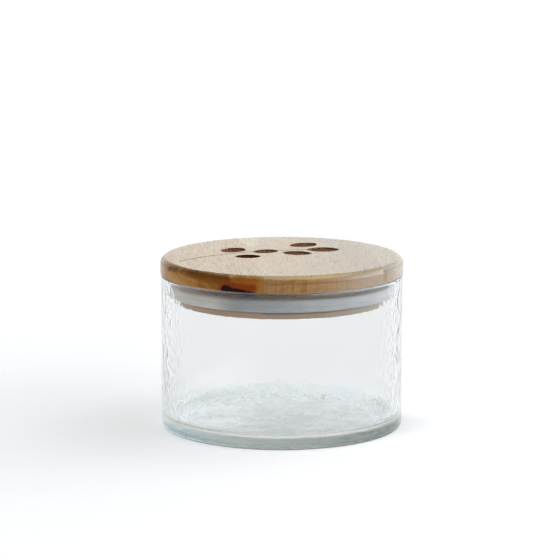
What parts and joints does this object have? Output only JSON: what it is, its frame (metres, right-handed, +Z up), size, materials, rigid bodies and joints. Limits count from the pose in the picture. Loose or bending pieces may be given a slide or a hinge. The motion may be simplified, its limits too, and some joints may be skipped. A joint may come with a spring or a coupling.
{
  "type": "lidded glass jar",
  "caption": "Squat round keeper of clear pebbled glass, closed by a turned wooden stopper lid with a silicone gasket and a carved leaf sprig.",
  "frame": {"origin": "centre of the ring that the jar stands on, at the height of the surface under it", "axes": "+Z up along the jar's axis, -Y towards the front as pictured, +X to the right of that view"},
  "size_m": [0.122, 0.122, 0.0862],
  "materials": {
    "pebbled_glass": "clear, pebbled",
    "silicone": "matte, milky",
    "left_board_wood": "satin lacquer",
    "middle_board_wood": "satin lacquer",
    "right_board_wood": "satin lacquer"
  },
  "bodies": {
    "jar": {"glass_jar": "pebbled_glass"},
    "seal": {"gasket": "silicone"},
    "lid": {"lid_stave_left": "left_board_wood", "lid_stave_middle": "middle_board_wood", "lid_stave_right": "right_board_wood"}
  },
  "joints": [
    {"name": "lid_lift", "type": "slide", "parent": "jar", "child": "seal", "axis": [0, 0, 1], "range_m": [0, 0.1]},
    {"name": "lid_turn", "type": "hinge", "parent": "seal", "child": "lid", "pos_m": [0, 0, 0.078], "axis": [0, 0, 1], "continuous": true}
  ]
}
